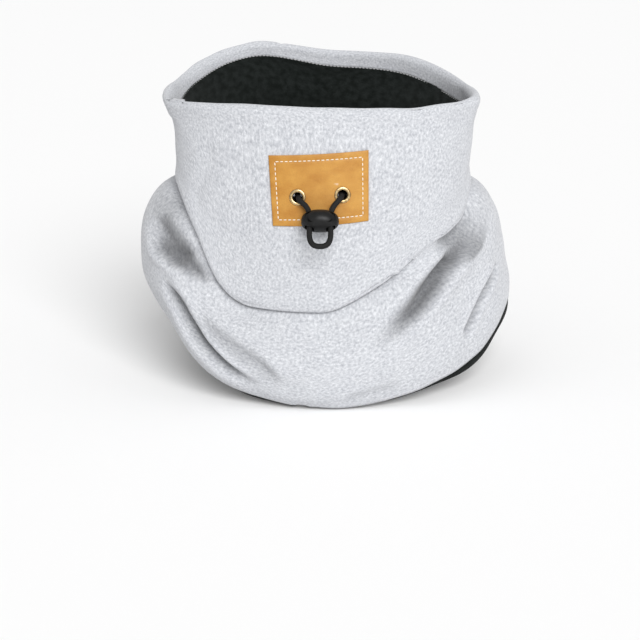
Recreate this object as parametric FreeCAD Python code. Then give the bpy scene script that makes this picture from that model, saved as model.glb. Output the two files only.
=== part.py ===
import FreeCAD, Part
import math
import os
from FreeCAD import Placement, Rotation, Vector

# A lined fleece neck gaiter, worn. Millimetres, +Z up, -Y is the wearer's front, +X the wearer's left.
# The origin is on the axis of the neck, at the height of the shoulders, just above the sides of the hem.
# A grey fleece tube turns over the rim and becomes a short facing; a dark fleece lining hangs inside.
# A leather patch on the front carries two eyelets. An elastic drawcord runs round the neck between the
# layers, comes out of both eyelets, passes through a sprung two-hole cord lock and turns back in a loop.

# ---- Form of the tube -------------------------------------------------------------------------------
# Each station is one closed line round the tube: half the width, the Y of its widest line, how far it
# stands in front of that line and behind it, and its height at the front, the sides and the back.
hem = dict(half=144, mid=-8, front=117, back=93, z_front=-66, z_side=-4, z_back=-6)
bulge = dict(half=147, mid=-12, front=121, back=100, z_front=-34, z_side=33, z_back=40)
waist = dict(half=115, mid=-35, front=80, back=112, z_front=3, z_side=62, z_back=78)
cord_line = dict(half=109.5, mid=-42, front=62, back=117, z_front=85.8, z_side=94, z_back=108)
rim = dict(half=120.5, mid=-45, front=50, back=120, z_front=148.5, z_side=152.5, z_back=173.5)
STATIONS = [hem, bulge, waist, cord_line, rim]
HEM, BULGE, WAIST, CORD, RIM = range(len(STATIONS))
ring_points = 32                 # points that each closed line is drawn through
cord_margin = 12.0               # this far above and below the cord's line the wall is even again
beyond = 300.0                   # further out than the gaiter reaches in any direction
overcut = 1.0                    # a cutter runs this far past the face that it opens
tiny = 0.001                     # step over which a direction of the wall is measured
nearly = 1e-6                    # two heights or lengths closer than this are the same

# ---- Layers -----------------------------------------------------------------------------------------
outer_thick = 2.6                # grey fleece
lining_thick = 2.4               # dark fleece
layer_gap = 0.4                  # air between two layers that lie together
facing_drop = 15.0               # how far the outer fleece turns down inside the rim
lining_show = 3.0                # the lining hangs this far below the outer hem
thread = 0.25                    # thickness of a seam thread
thread_clear = 0.1
seam_width = 1.2
hem_seam_height = 3.0            # lower edge of the hem seam above the outer hem
hem_seam_wide = 2.0

# ---- Leather patch ----------------------------------------------------------------------------------
patch_wide = 72.0
patch_high = 50.0
patch_thick = 1.5
patch_corner = 1.5
patch_seat = 0.06                # air between leather and fleece
stamp_deep = 60.0                # depth of the block that stamps the patch out of its sheet
patch_rise = 5.2                 # centre of the patch above the line of the eyelets
patch_tilt = 3.0                 # the patch is sewn this far off level, its +X end up
stitch_inset = 4.5               # from the patch edge to the row of stitches
stitch_pitch = 3.9
stitch_long = 2.5
stitch_wide = 0.9
stitch_high = 0.5
stitch_clear = 0.05

# ---- Eyelets ----------------------------------------------------------------------------------------
eyelet_spacing = 32.0
eyelet_room = 1.5                # between the cord and the bore
flange_wide = 2.5                # from the bore to the edge of the flange
flange_round = 0.35              # radius round the flange's front edges
curl_wide = 0.7                  # how far the curl behind stands out from the barrel
drill_past = 1.6                 # the hole for the barrel runs this far behind the fleece
drill_long = 30.0
eyelet_wall = 0.4
eyelet_flange = 0.8
eyelet_clear = 0.12              # between the barrel or flange and what it is set in
washer_thick = 0.4

# ---- Drawcord ---------------------------------------------------------------------------------------
cord_dia = 4.0
cord_chord = 0.4                 # the round path lies this much inside its own points
cord_step = 10.0                 # degrees between two points of the held cord
cord_even_end = 20.0             # degrees from the front to the last of those points
cord_eyelet_end = 14.0           # degrees from the front to the point before the eyelet
cord_behind = Vector(0.9, 0.4, 0)       # off the eyelet's axis where the cord turns behind it
cord_before = Vector(0.2, -0.7, 5.0)    # off the eyelet's axis where the cord turns in front
tack_long = 3.0                  # stitched tack that joins the cord's two ends at the back
tack_clear = 0.2
tape_thick = 0.45                # tunnel tape, sewn to the back of the lining
tape_half = 8.0                  # half its width
tape_flat = 4.0                  # half the width of the part that stands off over the cord
tape_clear = 0.35                # between the tape and the cord
tape_lift = 0.3                  # between the tape and the outer fleece
tape_start = 27.0                # the tape begins this far to each side of the middle
bend_share = 0.45                # share of the shorter run that an arc takes

# ---- Cord lock --------------------------------------------------------------------------------------
lock_place = Vector(0, -118.5, 71.5)    # middle of the two cords inside the lock
lock_lean = 48.0                 # degrees from level to the direction in which the cords enter
lock_wide = 27.0
lock_deep = 15.5                 # along the cords
lock_base = 5.4                  # from the cords' centres to the open underside
lock_dome = 8.0                  # from the cords' centres to the top of the dome
lock_crown = 6.0                 # radius round the top of the dome
lock_foot = 1.0                  # radius round the underside
hole_spacing = 15.0
hole_room_wide = 3.0             # the lock's cord holes are this much wider than the cord
hole_room_high = 0.9             # and this much higher
hole_round = 0.95                # share of a hole's half height that its corners are rounded
slot_room = 0.6                  # the plunger's cord slots are this much wider than the cord
pocket_clear = 0.15              # running clearance round the plunger
plunger_half = 10.9              # half the plunger's length across the cords
plunger_deep = 9.0
plunger_proud = 2.6              # how far the plunger stands out of the underside
plunger_roof = 1.2               # plastic above its cord slots
plunger_slack = 0.05
press = 2.5                      # travel of the plunger
spring_wire = 0.6
spring_mean = 2.2                # mean radius of the coil
spring_turns = 5
spring_seat = 2.0                # depth of the spring's seat below the cords' centres
spring_clear = 0.1
spring_room = 0.5                # between the coil and its seat in the plunger
leg_reach = 12.5                 # from the lock's far face to the middle line of the loop's end
leg_turn = 1.5                   # the legs turn this far before the lock's near face

cord_r = cord_dia / 2
eyelet_bore = cord_r + eyelet_room
eyelet_outer = eyelet_bore + flange_wide
hole_wide = cord_dia + hole_room_wide
hole_high = cord_dia + hole_room_high
spring_bore = spring_mean + spring_wire / 2 + spring_room
cord_depth = outer_thick + tape_lift + tape_thick + tape_clear + cord_r
half_hole = hole_spacing / 2
turn_x = Rotation(Vector(1, 0, 0), lock_lean)
lock_frame = Placement(lock_place, turn_x)
parts = {}


# ---- The wall of the tube ---------------------------------------------------------------------------
def station_point(station, angle):
    """Point of one station's line; angle 0 is the front, a quarter turn is +X."""
    across = math.sin(angle)
    ahead = math.cos(angle)
    reach = station["front"] if ahead > 0 else station["back"]
    front_share = max(ahead, 0) ** 2
    back_share = max(-ahead, 0) ** 2
    z = station["z_side"]
    z += front_share * (station["z_front"] - station["z_side"])
    z += back_share * (station["z_back"] - station["z_side"])
    return Vector(station["half"] * across, station["mid"] - reach * ahead, z)


def skin(level, angle):
    """Outer face of the fleece: a smooth curve up through the stations at one angle."""
    last = len(STATIONS) - 1
    low = min(max(int(math.floor(level)), 0), last - 1)
    t = level - low
    p1 = station_point(STATIONS[low], angle)
    p2 = station_point(STATIONS[low + 1], angle)
    p0 = station_point(STATIONS[low - 1], angle) if low > 0 else p1 * 2 - p2
    p3 = station_point(STATIONS[low + 2], angle) if low + 2 <= last else p2 * 2 - p1
    slope1 = (p2 - p0) / 2
    slope2 = (p3 - p1) / 2
    h1 = 2 * t ** 3 - 3 * t ** 2 + 1
    h2 = t ** 3 - 2 * t ** 2 + t
    h3 = 3 * t ** 2 - 2 * t ** 3
    h4 = t ** 3 - t ** 2
    return p1 * h1 + slope1 * h2 + p2 * h3 + slope2 * h4


def up_wall(level, angle):
    rise = skin(level + tiny, angle) - skin(level - tiny, angle)
    return rise.normalize()


def outward(level, angle):
    along = skin(level, angle + tiny) - skin(level, angle - tiny)
    return along.cross(up_wall(level, angle)).normalize()


def wall(line, angle, inset):
    """A point of the wall: line is (level, millimetres up the wall from it), inset is its depth."""
    level, up = line
    base = skin(level, angle) + up_wall(level, angle) * up
    return base - outward(level, angle) * inset


def ring(line, inset):
    """A closed smooth line round the tube, at one depth in the wall."""
    turn = 2 * math.pi / ring_points
    points = [wall(line, turn * i, inset) for i in range(ring_points)]
    curve = Part.BSplineCurve()
    curve.interpolate(Points=points, PeriodicFlag=True, Parameters=list(range(ring_points + 1)))
    return curve.toShape()


def band(section):
    """A closed hoop of cloth, tape or leather from the corners of its section, ruled between rings."""
    edges = [ring(line, inset) for line, inset in section]
    faces = []
    for i, edge in enumerate(edges):
        faces.append(Part.makeRuledSurface(edge, edges[(i + 1) % len(edges)]))
    shell = Part.makeShell(faces)
    shell.sewShape()
    solid = Part.makeSolid(shell)
    if solid.Volume < 0:
        solid.reverse()
    return solid


# Lines of the wall from the hem to the turned-down edge, shared by every layer so that they nest.
cord_heights = (-cord_margin, -tape_half, -tape_flat, tape_flat, tape_half, cord_margin)
near_cord = [(CORD, up) for up in cord_heights]
roll_lines = [(0.33, 0), (0.67, 0), (BULGE, 0), (1.33, 0), (1.67, 0), (WAIST, 0)]
neck_line = (3.5, 0)
facing_end = (RIM, -facing_drop)
hem_seam_low = (HEM, hem_seam_height)
hem_seam_top = (HEM, hem_seam_height + hem_seam_wide)
lower_lines = [(HEM, 0), hem_seam_low, hem_seam_top] + roll_lines
upper_lines = near_cord + [neck_line, facing_end]
wall_lines = lower_lines + upper_lines


def lining_depth(line):
    """The lining lies against the outer fleece, except where the cord and its tape need room."""
    level, up = line
    room = cord_depth + cord_r + tape_clear + thread_clear
    rest = outer_thick + layer_gap
    if level != CORD:
        return rest
    return room if abs(up) <= tape_half else (room + rest) / 2


def middle_of_front(x, z):
    """Angle and height up the wall of a point of the front near the cord line, from its X and Z."""
    angle = math.asin(x / cord_line["half"])
    rise = up_wall(CORD, angle)
    up = (z - skin(CORD, angle).z) / rise.z
    return angle, up


# ---- Fabric -----------------------------------------------------------------------------------------
def make_outer():
    """The fleece wall, over the rim and down inside it as the facing."""
    facing_face = outer_thick + layer_gap
    section = [(line, 0) for line in wall_lines] + [((RIM, 0), 0)]
    section += [((RIM, 0), facing_face + outer_thick), (facing_end, facing_face + outer_thick)]
    section += [(facing_end, facing_face), ((RIM, -outer_thick), facing_face)]
    section += [((RIM, -outer_thick), outer_thick)]
    section += [(line, outer_thick) for line in reversed(wall_lines)]
    return band(section)


def make_lining():
    top = (RIM, -facing_drop - seam_width)
    bottom = (HEM, -lining_show)
    lines = [bottom] + wall_lines[:-1] + [top]
    section = [(line, lining_depth(line)) for line in lines]
    section += [(line, lining_depth(line) + lining_thick) for line in reversed(lines)]
    return band(section)


def make_facing_seam():
    depth = outer_thick + layer_gap
    low = (RIM, -facing_drop - seam_width + thread_clear)
    high = (RIM, -facing_drop - thread_clear)
    return band([(low, depth), (high, depth), (high, depth + lining_thick), (low, depth + lining_thick)])


def seam_depths():
    middle = outer_thick + layer_gap / 2
    return middle - thread / 2, middle + thread / 2


def make_hem_seam():
    near, far = seam_depths()
    section = [(hem_seam_low, near), (hem_seam_top, near), (hem_seam_top, far), (hem_seam_low, far)]
    return band(section)


def make_back_seam():
    """Thread of the upright seam at the middle of the back, between the layers."""
    near, far = seam_depths()
    slot = Part.makeBox(seam_width, beyond, 2 * beyond, Vector(-seam_width / 2, 0, -beyond))
    runs = []
    for lines in (roll_lines, [neck_line, facing_end]):
        section = [(line, near) for line in lines] + [(line, far) for line in reversed(lines)]
        runs.append(band(section).common(slot).Solids[0])
    return Part.makeCompound(runs)


# ---- Patch, stitches and eyelets --------------------------------------------------------------------
tilt = math.radians(patch_tilt)
patch_base = cord_line["z_front"]


def patch_to_front(across, up):
    """Patch coordinates, from the middle between the eyelets, to X and Z."""
    x = across * math.cos(tilt) - up * math.sin(tilt)
    z = patch_base + across * math.sin(tilt) + up * math.cos(tilt)
    return x, z


def front_frame(across, up, out):
    """Placement on the front: its Z axis points out of the wall and its X axis along the patch."""
    x, z = patch_to_front(across, up)
    angle, rise = middle_of_front(x, z)
    spot = wall((CORD, rise), angle, -out)
    axis_z = outward(CORD, angle)
    along = Vector(math.cos(tilt), 0, math.sin(tilt))
    axis_y = axis_z.cross(along).normalize()
    axis_x = axis_y.cross(axis_z)
    return Placement(spot, Rotation(axis_x, axis_y, axis_z, "ZXY"))


def edges_along_y(block):
    return [e for e in block.Edges if abs(abs(e.tangentAt(e.FirstParameter).y) - 1) < nearly]


def make_patch():
    """Leather plate that follows the front of the wall."""
    lines = [(WAIST, 0)] + upper_lines
    section = [(line, -patch_seat - patch_thick) for line in lines]
    section += [(line, -patch_seat) for line in reversed(lines)]
    sheet = band(section)
    corner = Vector(-patch_wide / 2, -stamp_deep / 2, -patch_high / 2)
    stamp = Part.makeBox(patch_wide, stamp_deep, patch_high, corner)
    stamp = stamp.makeFillet(patch_corner, edges_along_y(stamp))
    x, z = patch_to_front(0, patch_rise)
    stamp.Placement = Placement(Vector(x, skin(CORD, 0).y, z), Rotation(Vector(0, -1, 0), patch_tilt))
    return sheet.common(stamp).Solids[0]


def stitch_row():
    """Middle and direction of each stitch round the patch, in patch coordinates."""
    wide = patch_wide - 2 * stitch_inset
    high = patch_high - 2 * stitch_inset
    for length, turned, gap in ((wide, False, high), (high, True, wide)):
        count = max(2, round(length / stitch_pitch))
        for side in (-gap / 2, gap / 2):
            for i in range(count):
                along = -length / 2 + length * (i + 0.5) / count
                yield (side, along, turned) if turned else (along, side, turned)


def make_stitches():
    solids = []
    for across, up, turned in stitch_row():
        long_x, long_y = (stitch_wide, stitch_long) if turned else (stitch_long, stitch_wide)
        stitch = Part.makeBox(long_x, long_y, stitch_high, Vector(-long_x / 2, -long_y / 2, 0))
        face = patch_seat + patch_thick + stitch_clear
        stitch.Placement = front_frame(across, up + patch_rise, face)
        solids.append(stitch)
    return Part.makeCompound(solids)


eyelet_barrel = eyelet_bore + eyelet_wall
leather_face = patch_seat + patch_thick
flange_seat = leather_face + eyelet_clear
washer_back = -outer_thick - eyelet_clear - washer_thick


def eyelet_frame(side):
    return front_frame(side * eyelet_spacing / 2, 0, 0)


def make_eyelet(side):
    """Barrel through leather and fleece, with a rounded flange in front and a small curl behind."""
    top = flange_seat + eyelet_flange
    curl = washer_back - eyelet_clear
    profile = Part.makePolygon([
        Vector(eyelet_bore, 0, curl - eyelet_wall),
        Vector(eyelet_barrel + curl_wide, 0, curl - eyelet_wall),
        Vector(eyelet_barrel + curl_wide, 0, curl),
        Vector(eyelet_barrel, 0, curl),
        Vector(eyelet_barrel, 0, flange_seat),
        Vector(eyelet_outer, 0, flange_seat),
        Vector(eyelet_outer, 0, top),
        Vector(eyelet_bore, 0, top),
        Vector(eyelet_bore, 0, curl - eyelet_wall),
    ])
    eyelet = Part.Face(profile).revolve(Vector(), Vector(0, 0, 1), 360)
    crown = [e for e in eyelet.Edges if len(e.Vertexes) == 1 and abs(e.Vertexes[0].Z - top) < nearly]
    eyelet = eyelet.makeFillet(flange_round, crown)
    eyelet.Placement = eyelet_frame(side)
    return eyelet


def make_washer(side):
    hole = Part.makeCylinder(eyelet_barrel + eyelet_clear, washer_thick)
    washer = Part.makeCylinder(eyelet_outer, washer_thick).cut(hole)
    washer.translate(Vector(0, 0, washer_back))
    washer.Placement = eyelet_frame(side).multiply(washer.Placement)
    return washer


def eyelet_drill(side):
    behind = outer_thick + drill_past
    drill = Part.makeCylinder(eyelet_barrel + eyelet_clear, drill_long, Vector(0, 0, -behind))
    drill.Placement = eyelet_frame(side)
    return drill


# ---- Drawcord ---------------------------------------------------------------------------------------
def in_lock(x, y, z):
    """A point in the lock's own frame: X across, Y back up the cords, Z out through the dome."""
    return lock_frame.multVec(Vector(x, y, z))


def inside_of_eyelet(side):
    return eyelet_frame(side).multVec(Vector(-side * cord_behind.x, cord_behind.y, -cord_depth))


def front_of_eyelet(side):
    return eyelet_frame(side).multVec(Vector(-side * cord_before.x, cord_before.y, cord_before.z))


def held_points(side):
    """The held half of the cord, from the middle of the back round to the eyelet."""
    end = 180 - math.degrees(math.asin(tack_long / 2 / cord_line["half"]))
    count = int((180 - cord_even_end) / cord_step)
    angles = [180 - cord_step * i for i in range(1, count + 1)]
    angles.append(cord_eyelet_end)
    depth = cord_depth - cord_chord
    points = [wall((CORD, 0), side * math.radians(a), depth) for a in angles]
    return [wall((CORD, 0), side * math.radians(end), cord_depth)] + points


def front_points():
    """The loose part: out of the +X eyelet, down through the lock, round the loop and back up."""
    near = lock_deep / 2 + leg_turn
    far = -lock_deep / 2 - leg_reach
    down = [inside_of_eyelet(1), front_of_eyelet(1)]
    turn = [in_lock(half_hole, near, 0), in_lock(half_hole, far, 0)]
    turn += [in_lock(-half_hole, far, 0), in_lock(-half_hole, near, 0)]
    return down + turn + [front_of_eyelet(-1), inside_of_eyelet(-1)]


def cord_edges(points, name):
    """Straight runs joined by tangent arcs; each arc takes a fixed share of its shorter run."""
    edges = []
    start = points[0]
    radii = []
    for before, corner, after in zip(points, points[1:], points[2:]):
        back = before - corner
        ahead = after - corner
        take = bend_share * min(back.Length, ahead.Length)
        back.normalize()
        ahead.normalize()
        half_turn = (math.pi - back.getAngle(ahead)) / 2
        radius = take / math.tan(half_turn)
        centre = corner + (back + ahead).normalize() * (radius / math.cos(half_turn))
        middle = centre + (corner - centre).normalize() * radius
        edges.append(Part.LineSegment(start, corner + back * take).toShape())
        edges.append(Part.Arc(corner + back * take, middle, corner + ahead * take).toShape())
        start = corner + ahead * take
        radii.append(radius)
    edges.append(Part.LineSegment(start, points[-1]).toShape())
    print(name, "arc radii", [round(r, 1) for r in radii])
    return edges


def cord_tube(edges, name):
    path = Part.Wire(edges)
    first = edges[0]
    heading = first.tangentAt(first.FirstParameter)
    outline = Part.Wire(Part.makeCircle(cord_r, first.valueAt(first.FirstParameter), heading))
    tube = path.makePipeShell([outline], True, False)
    ideal = math.pi * cord_r ** 2 * path.Length
    print(name, "length", round(path.Length, 1), "volume share", round(tube.Volume / ideal, 4))
    return tube


def make_cords():
    """Two held halves and the loose front; each held half ends inside its eyelet."""
    front = cord_edges(front_points(), "drawcord_front")
    middle = {1: front[0], -1: front[-1]}
    cords = {}
    splits = {}
    for side, name in ((1, "drawcord_left"), (-1, "drawcord_right")):
        route = held_points(side) + [inside_of_eyelet(side), front_of_eyelet(side)]
        edges = cord_edges(route, name)
        last = edges[-1]
        shared = cord_share(last, middle[side], side)
        edges[-1] = Part.LineSegment(last.Vertexes[0].Point, shared).toShape()
        splits[side] = shared
        cords[name] = cord_tube(edges, name)
    front[0] = Part.LineSegment(splits[1], front[0].Vertexes[-1].Point).toShape()
    front[-1] = Part.LineSegment(front[-1].Vertexes[0].Point, splits[-1]).toShape()
    cords["drawcord_front"] = cord_tube(front, "drawcord_front")
    return cords, splits


def cord_share(held_run, front_run, side):
    """Where the held cord ends and the loose cord begins, on the straight run inside the eyelet."""
    held_start = held_run.Vertexes[0].Point
    front_end = front_run.Vertexes[-1].Point if side > 0 else front_run.Vertexes[0].Point
    return (held_start + front_end) / 2


def make_tack():
    """Stitched tack between the two ends of the cord at the middle of the back."""
    right = held_points(-1)[0]
    left = held_points(1)[0]
    across = Vector(1, 0, 0)
    length = (left - right).Length - 2 * tack_clear
    return Part.makeCylinder(cord_r, length, right + across * tack_clear, across)


def make_tunnel():
    """Tape over the held cord, its two long edges down on the lining."""
    over = cord_depth - cord_r - tape_clear
    seat = lining_depth((CORD, 0)) - thread_clear
    lip = tape_thick
    section = [((CORD, -tape_half), seat - lip), ((CORD, -tape_flat), over - lip)]
    section += [((CORD, tape_flat), over - lip), ((CORD, tape_half), seat - lip)]
    section += [((CORD, tape_half), seat), ((CORD, tape_half - lip), seat)]
    section += [((CORD, tape_flat - lip), over), ((CORD, lip - tape_flat), over)]
    section += [((CORD, lip - tape_half), seat), ((CORD, -tape_half), seat)]
    mouth = Part.makeBox(2 * tape_start, beyond, 2 * beyond, Vector(-tape_start, -beyond, -beyond))
    return band(section).cut(mouth)


# ---- Cord lock --------------------------------------------------------------------------------------
def stadium(half_long, deep, low, high):
    """Upright block with half-round ends along X."""
    r = deep / 2
    c = half_long - r
    edges = [
        Part.LineSegment(Vector(-c, -r, low), Vector(c, -r, low)).toShape(),
        Part.Arc(Vector(c, -r, low), Vector(c + r, 0, low), Vector(c, r, low)).toShape(),
        Part.LineSegment(Vector(c, r, low), Vector(-c, r, low)).toShape(),
        Part.Arc(Vector(-c, r, low), Vector(-c - r, 0, low), Vector(-c, -r, low)).toShape(),
    ]
    return Part.Face(Part.Wire(edges)).extrude(Vector(0, 0, high - low))


def slot_through(x, wide, low, high, deep):
    """Cutter along Y with a rounded upright section."""
    r = min(wide, high - low) / 2
    block = Part.makeBox(wide, deep, high - low, Vector(x - wide / 2, -deep / 2, low))
    return block.makeFillet(r * hole_round, edges_along_y(block))


plunger_top = cord_r + plunger_slack + plunger_roof
pocket_top = plunger_top + press + 2 * spring_clear


def make_lock_body():
    """Domed bead, open underneath, with two cord holes through its long walls."""
    bead = stadium(lock_wide / 2, lock_deep, -lock_base, lock_dome)
    bead = bead.makeFillet(lock_crown, level_edges(bead, lock_dome))
    bead = bead.makeFillet(lock_foot, level_edges(bead, -lock_base))
    body = bead.cut(pocket())
    for x in (-half_hole, half_hole):
        body = body.cut(slot_through(x, hole_wide, -hole_high / 2, hole_high / 2, 2 * lock_deep))
    body.Placement = lock_frame
    return body


def level_edges(solid, height):
    return [e for e in solid.Edges if all(abs(v.Z - height) < nearly for v in e.Vertexes)]


def pocket():
    deep = plunger_deep + 2 * pocket_clear
    return stadium(plunger_half + pocket_clear, deep, -lock_base - overcut, pocket_top)


def make_plunger():
    """Button that slides in the pocket; its two slots leave room for the cords when it is pressed."""
    block = stadium(plunger_half, plunger_deep, -lock_base - plunger_proud, plunger_top)
    low = -cord_r - plunger_slack - press
    high = cord_r + plunger_slack
    width = cord_dia + slot_room
    for x in (-half_hole, half_hole):
        slot = Part.makeBox(width, 2 * plunger_deep, high - low, Vector(x - width / 2, -plunger_deep, low))
        block = block.cut(slot)
    seat_depth = plunger_top + spring_seat + overcut
    seat = Part.makeCylinder(spring_bore, seat_depth, Vector(0, 0, -spring_seat))
    block = block.cut(seat)
    block.Placement = lock_frame
    return block


def make_spring():
    """Coil between the plunger's seat and the roof of the pocket."""
    low = -spring_seat + spring_clear + spring_wire / 2
    high = pocket_top - spring_clear - spring_wire / 2
    helix = Part.makeHelix((high - low) / spring_turns, high - low, spring_mean)
    outline = Part.Wire(Part.makeCircle(spring_wire / 2, Vector(spring_mean, 0, 0), Vector(0, 1, 0)))
    coil = Part.Wire(helix).makePipeShell([outline], True, True)
    coil.translate(Vector(0, 0, low))
    coil.Placement = lock_frame.multiply(coil.Placement)
    return coil


# ---- Build and write --------------------------------------------------------------------------------
drills = [eyelet_drill(side) for side in (-1, 1)]
parts["outer_shell"] = make_outer().cut(drills)
parts["lining"] = make_lining()
parts["facing_seam_thread"] = make_facing_seam()
parts["hem_seam_thread"] = make_hem_seam()
parts["back_seam_thread"] = make_back_seam()
parts["leather_patch"] = make_patch().cut(drills)
parts["patch_stitching"] = make_stitches()
for side, name in ((1, "left"), (-1, "right")):
    parts["eyelet_" + name] = make_eyelet(side)
    parts["eyelet_washer_" + name] = make_washer(side)
cords, splits = make_cords()
parts.update(cords)
parts["cord_tack"] = make_tack()
parts["cord_tunnel_tape"] = make_tunnel()
parts["lock_body"] = make_lock_body()
parts["lock_plunger"] = make_plunger()
parts["lock_spring"] = make_spring()

print("swing axis through", (splits[1] + splits[-1]) / 2)
os.makedirs("parts", exist_ok=True)
for name, shape in parts.items():
    box = shape.BoundBox
    low = [round(v, 1) for v in (box.XMin, box.YMin, box.ZMin)]
    high = [round(v, 1) for v in (box.XMax, box.YMax, box.ZMax)]
    print(name, "valid", shape.isValid(), "solids", len(shape.Solids), "from", low, "to", high)
    shape.exportStep("parts/" + name + ".step")
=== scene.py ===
# %% [markdown]
# # A worn fleece neck gaiter
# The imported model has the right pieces, sizes and joints, but plain walls. This lesson gives it its
# looks: slouched fleece with folds, a dark lining, a sewn leather patch, rolled brass eyelets and a
# braided cord. All is made in the model's own frame, in metres, with +Z up and the front at -Y.

# %% Load the frame
import bpy
import numpy as np
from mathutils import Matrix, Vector


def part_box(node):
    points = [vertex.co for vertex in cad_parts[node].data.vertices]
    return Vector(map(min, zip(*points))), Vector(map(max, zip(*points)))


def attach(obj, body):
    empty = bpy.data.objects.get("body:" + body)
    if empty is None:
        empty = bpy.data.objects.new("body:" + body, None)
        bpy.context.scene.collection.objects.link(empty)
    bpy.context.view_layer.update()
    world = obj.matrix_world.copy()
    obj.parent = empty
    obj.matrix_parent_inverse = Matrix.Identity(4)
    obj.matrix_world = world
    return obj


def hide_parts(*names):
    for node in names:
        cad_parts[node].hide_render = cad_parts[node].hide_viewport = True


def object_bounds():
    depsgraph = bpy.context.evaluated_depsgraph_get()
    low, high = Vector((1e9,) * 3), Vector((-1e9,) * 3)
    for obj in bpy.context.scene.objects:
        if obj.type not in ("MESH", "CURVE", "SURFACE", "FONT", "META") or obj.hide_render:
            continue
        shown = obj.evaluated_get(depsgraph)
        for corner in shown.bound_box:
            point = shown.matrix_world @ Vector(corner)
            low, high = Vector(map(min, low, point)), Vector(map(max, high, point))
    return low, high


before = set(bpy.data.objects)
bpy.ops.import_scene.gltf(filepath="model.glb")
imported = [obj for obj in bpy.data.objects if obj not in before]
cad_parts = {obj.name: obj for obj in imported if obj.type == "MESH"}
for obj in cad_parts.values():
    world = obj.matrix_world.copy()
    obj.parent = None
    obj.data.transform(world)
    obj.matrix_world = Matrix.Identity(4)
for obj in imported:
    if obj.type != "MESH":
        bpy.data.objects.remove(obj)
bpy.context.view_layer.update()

mm = 0.001
print("nodes:", len(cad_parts))

# %% [markdown]
# ## The camera
# A product picture looks at the gaiter from the front and a little above, from about a metre away.

# %% Camera
def in_scene(name, data):
    """A new object with this data, linked to the scene."""
    made = bpy.data.objects.new(name, data)
    bpy.context.scene.collection.objects.link(made)
    return made


def aimed(made, place, heading):
    """Puts a camera or lamp at place and turns it so that it looks along heading."""
    made.location = place
    made.rotation_mode = "QUATERNION"
    made.rotation_quaternion = heading.to_track_quat("-Z", "Y")


eye = Vector((0.0, -1.0472, 0.281))
aim = Vector((0.0, -0.110, -0.0055))
camera = in_scene("camera", bpy.data.cameras.new("camera"))
aimed(camera, eye, aim - eye)
camera.data.lens = 74.8
camera.data.sensor_width = 36.0
bpy.context.scene.camera = camera
print("camera is", round((aim - eye).length, 3), "m from what it looks at")

# %% [markdown]
# ## Helpers for surfaces
# Every new piece is worked out on a grid of rows and columns. One function makes a mesh of it and lays
# it out as a flat UV map in metres, like cloth on a table, so that a fleck keeps its size.

# %% From a grid to a mesh
def grid_object(name, points, flat=None, wrap=True, ring_rows=False, holes=None, caps=False, body="gaiter"):
    """Mesh of a grid of points (rows, columns, 3) in millimetres.

    Each cell between two rows and two columns is one face, and its outside is where columns cross
    rows by the right-hand rule. wrap joins the last column to the first, ring_rows the last row to
    the first, and caps closes both ends. Cells that holes marks are left out. flat is the cloth's
    (width, length) in metres, which the UV map spreads over the grid.
    """
    rows, columns = points.shape[:2]
    spans = columns if wrap else columns - 1
    steps = rows if ring_rows else rows - 1
    row, column = np.mgrid[0:steps, 0:spans]
    next_row, next_column = (row + 1) % rows, (column + 1) % columns
    corners = np.stack([row * columns + column, row * columns + next_column,
                        next_row * columns + next_column, next_row * columns + column], axis=-1)
    kept = np.ones(row.shape, bool) if holes is None else ~holes
    faces = corners[kept].tolist()
    if caps:
        faces.append(list(range(columns))[::-1])
        faces.append(list(range((rows - 1) * columns, rows * columns)))
    mesh = bpy.data.meshes.new(name)
    mesh.from_pydata((points.reshape(-1, 3) * mm).tolist(), [], faces)
    if flat is not None:
        across, along = flat[0] / spans, flat[1] / steps
        left, right, low, high = column * across, (column + 1) * across, row * along, (row + 1) * along
        cells = np.stack([left, low, right, low, right, high, left, high], axis=-1)[kept].ravel()
        spare = np.zeros(len(mesh.loops) * 2 - len(cells))
        mesh.uv_layers.new(name="flat_cloth").data.foreach_set("uv", np.concatenate([cells, spare]))
    mesh.polygons.foreach_set("use_smooth", np.ones(len(mesh.polygons), bool))
    mesh.update()
    return placed(name, mesh, body)


def placed(name, mesh, body):
    """An object with this mesh, in the scene, that rides on a body of the frame."""
    made = in_scene(name, mesh)
    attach(made, body)
    return made


# %% Directions on a grid
def unit(vectors):
    """Each vector divided by its own length."""
    return vectors / np.linalg.norm(vectors, axis=-1, keepdims=True)


def outward_of(points):
    """Outward direction at each point of a grid that closes on itself along its columns.

    It is the cross product of the step to the next column and the step to the next row.
    """
    along = np.roll(points, -1, axis=1) - np.roll(points, 1, axis=1)
    return unit(np.cross(along, np.gradient(points, axis=0)))


# %% [markdown]
# ## The loose cord
# The elastic cord comes out of one eyelet, runs through the lock, turns in a small loop and goes back.
# A bevelled curve would be smooth, but a braided cover needs relief, so the curve only gives the centre
# line of a tube of rings. The route repeats the CAD tube's points.

# %% Route of the loose cord
cord_diameter = 4.0
out_of_lock = np.array([0, -0.743, 0.669])    # the way the cord lock faces, up and to the front
cord_step = 0.35
loose_route = [
    (15.4, -103.0, 86.4), (16.2, -108.3, 86.6), (7.5, -112.3, 78.4), (7.5, -122.0, 67.6),
    (7.7, -128.6, 60.2), (4.6, -132.7, 55.8), (-4.6, -132.7, 55.8), (-7.7, -128.6, 60.2),
    (-7.5, -122.0, 67.6), (-7.5, -112.3, 78.4),
    (-16.1, -108.5, 85.0), (-15.4, -103.2, 84.8),
]


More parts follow.
